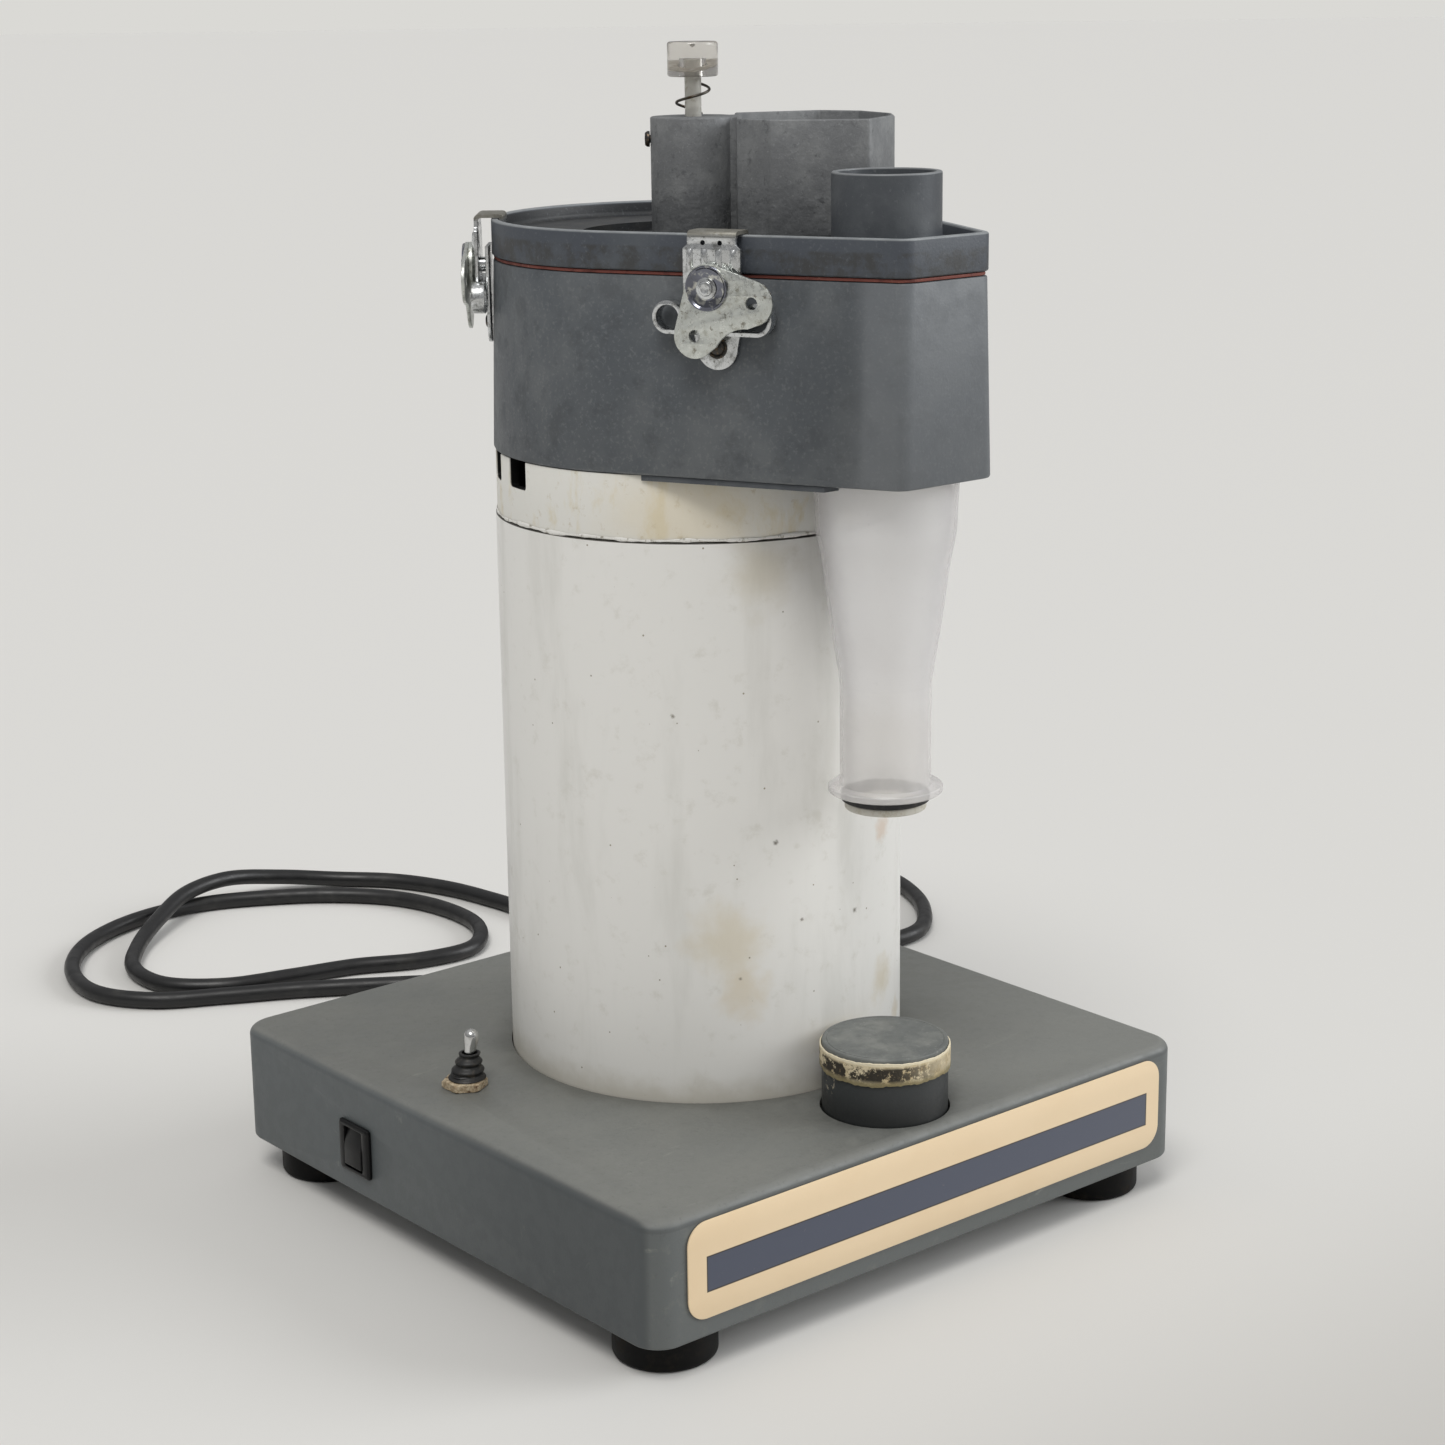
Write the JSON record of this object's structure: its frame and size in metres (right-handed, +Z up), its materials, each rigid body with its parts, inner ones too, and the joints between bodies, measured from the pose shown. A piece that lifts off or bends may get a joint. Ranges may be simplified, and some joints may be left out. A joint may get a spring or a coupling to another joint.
{
  "type": "cyclone mill",
  "caption": "Bench-top laboratory mill: upright motor tube on a square base, latched teardrop grinding head, hopper with sprung plunger, clear cyclone over a sprung bottle pedestal.",
  "frame": {"origin": "on the floor under the middle of the base", "axes": "+X to the right along the label face, +Y to the back, +Z up"},
  "size_m": [0.5132, 0.6334, 0.487],
  "materials": {
    "casting": "blue-grey textured cast housing",
    "base_paint": "grey paint",
    "hopper_metal": "lighter worn grey casting",
    "tube_plastic": "white pipe, stained",
    "label": "cream sheet with one plain stripe",
    "rubber": "black",
    "silicone": "brick red sheet",
    "clear": "milky clear",
    "cream": "cream, worn",
    "zinc": "bright zinc plate, tarnished",
    "steel": "plain steel",
    "copper": "iron laminations with copper windings",
    "black_plastic": "black",
    "abrasive": "dark grit"
  },
  "bodies": {
    "mill": {"base_housing": "base_paint", "base_plate": "steel", "cord": "rubber", "cord_plug": "rubber", "cyclone": "clear", "cyclone_gasket": "rubber", "cyclone_ring": "cream", "feed_hopper": "hopper_metal", "feed_spring": "steel", "foot_back_left": "rubber", "foot_back_right": "rubber", "foot_front_left": "rubber", "foot_front_right": "rubber", "grinding_ring": "abrasive", "head_body": "casting", "head_gasket": "silicone", "head_lid": "casting", "hopper_screw": "steel", "label_plate": "label", "latch_back_left_base": "zinc", "latch_back_right_base": "zinc", "latch_front_left_base": "zinc", "latch_front_right_base": "zinc", "lower_bearing": "steel", "motor_can": "steel", "motor_plate": "casting", "motor_stator": "copper", "motor_tube": "tube_plastic", "outlet_tube": "casting", "pedestal_guide": "steel", "pedestal_spring": "steel", "rocker_bezel": "black_plastic", "screen": "steel", "strain_relief": "rubber", "toggle_body": "black_plastic", "toggle_boot": "rubber", "toggle_nut": "zinc", "tube_collar": "tube_plastic", "tube_ring": "steel", "upper_bearing": "steel"},
    "rocker": {"rocker_button": "black_plastic"},
    "toggle": {"toggle_lever": "zinc"},
    "pedestal": {"bottle_pedestal": "base_paint", "pedestal_band": "cream"},
    "rotor": {"motor_shaft": "steel", "motor_armature": "copper", "cooling_fan": "black_plastic", "impeller": "steel", "impeller_nut": "zinc"},
    "plunger": {"feed_knob": "clear", "feed_stem": "clear", "plunger_foot": "clear"},
    "latch_front_left_wing": {"latch_front_left_wing": "zinc"},
    "latch_front_left_hook": {"latch_front_left_hook": "zinc"},
    "latch_front_right_wing": {"latch_front_right_wing": "zinc"},
    "latch_front_right_hook": {"latch_front_right_hook": "zinc"},
    "latch_back_left_wing": {"latch_back_left_wing": "zinc"},
    "latch_back_left_hook": {"latch_back_left_hook": "zinc"},
    "latch_back_right_wing": {"latch_back_right_wing": "zinc"},
    "latch_back_right_hook": {"latch_back_right_hook": "zinc"}
  },
  "joints": [
    {"name": "feed_press", "type": "slide", "parent": "mill", "child": "plunger", "axis": [0, 0, -1], "range_m": [0, 0.01], "stiffness_N_per_m": 300, "springref_m": -0.006, "deforming": ["feed_spring"]},
    {"name": "pedestal_press", "type": "slide", "parent": "mill", "child": "pedestal", "axis": [0, 0, -1], "range_m": [0, 0.015], "stiffness_N_per_m": 700, "springref_m": -0.012, "deforming": ["pedestal_spring"]},
    {"name": "motor_spin", "type": "hinge", "parent": "mill", "child": "rotor", "pos_m": [0.002, 0, 0.36], "axis": [0, 0, 1], "continuous": true},
    {"name": "power_rock", "type": "hinge", "parent": "mill", "child": "rocker", "pos_m": [-0.1428, 0.053, 0.0365], "axis": [0, 1, 0], "range_deg": [-16, 0]},
    {"name": "toggle_flip", "type": "hinge", "parent": "mill", "child": "toggle", "pos_m": [-0.1148, 0.0162, 0.0642], "axis": [0, 1, 0], "range_deg": [-18, 0], "deforming": ["toggle_boot"]},
    {"name": "latch_front_left_turn", "type": "hinge", "parent": "mill", "child": "latch_front_left_wing", "pos_m": [-0.05966, -0.08263, 0.3997], "axis": [-0.9048, -0.4259, 0], "range_deg": [0, 180]},
    {"name": "latch_front_left_lift", "type": "slide", "parent": "mill", "child": "latch_front_left_hook", "axis": [0, 0, 1], "range_m": [0, 0.005]},
    {"name": "latch_front_right_turn", "type": "hinge", "parent": "mill", "child": "latch_front_right_wing", "pos_m": [0.07027, -0.06861, 0.3997], "axis": [0.9048, -0.4259, 0], "range_deg": [0, 180]},
    {"name": "latch_front_right_lift", "type": "slide", "parent": "mill", "child": "latch_front_right_hook", "axis": [0, 0, 1], "range_m": [0, 0.005]},
    {"name": "latch_back_left_turn", "type": "hinge", "parent": "mill", "child": "latch_back_left_wing", "pos_m": [-0.0677, 0.05848, 0.3997], "axis": [-0.766, 0.6428, 0], "range_deg": [0, 180]},
    {"name": "latch_back_left_lift", "type": "slide", "parent": "mill", "child": "latch_back_left_hook", "axis": [0, 0, 1], "range_m": [0, 0.005]},
    {"name": "latch_back_right_turn", "type": "hinge", "parent": "mill", "child": "latch_back_right_wing", "pos_m": [0.0717, 0.05848, 0.3997], "axis": [0.766, 0.6428, 0], "range_deg": [0, 180]},
    {"name": "latch_back_right_lift", "type": "slide", "parent": "mill", "child": "latch_back_right_hook", "axis": [0, 0, 1], "range_m": [0, 0.005]}
  ],
  "couplings": [
    {"joint": "latch_front_left_turn", "follows": "latch_front_left_lift", "rad_per_m": 628.3},
    {"joint": "latch_front_right_turn", "follows": "latch_front_right_lift", "rad_per_m": 628.3},
    {"joint": "latch_back_left_turn", "follows": "latch_back_left_lift", "rad_per_m": 628.3},
    {"joint": "latch_back_right_turn", "follows": "latch_back_right_lift", "rad_per_m": 628.3}
  ]
}
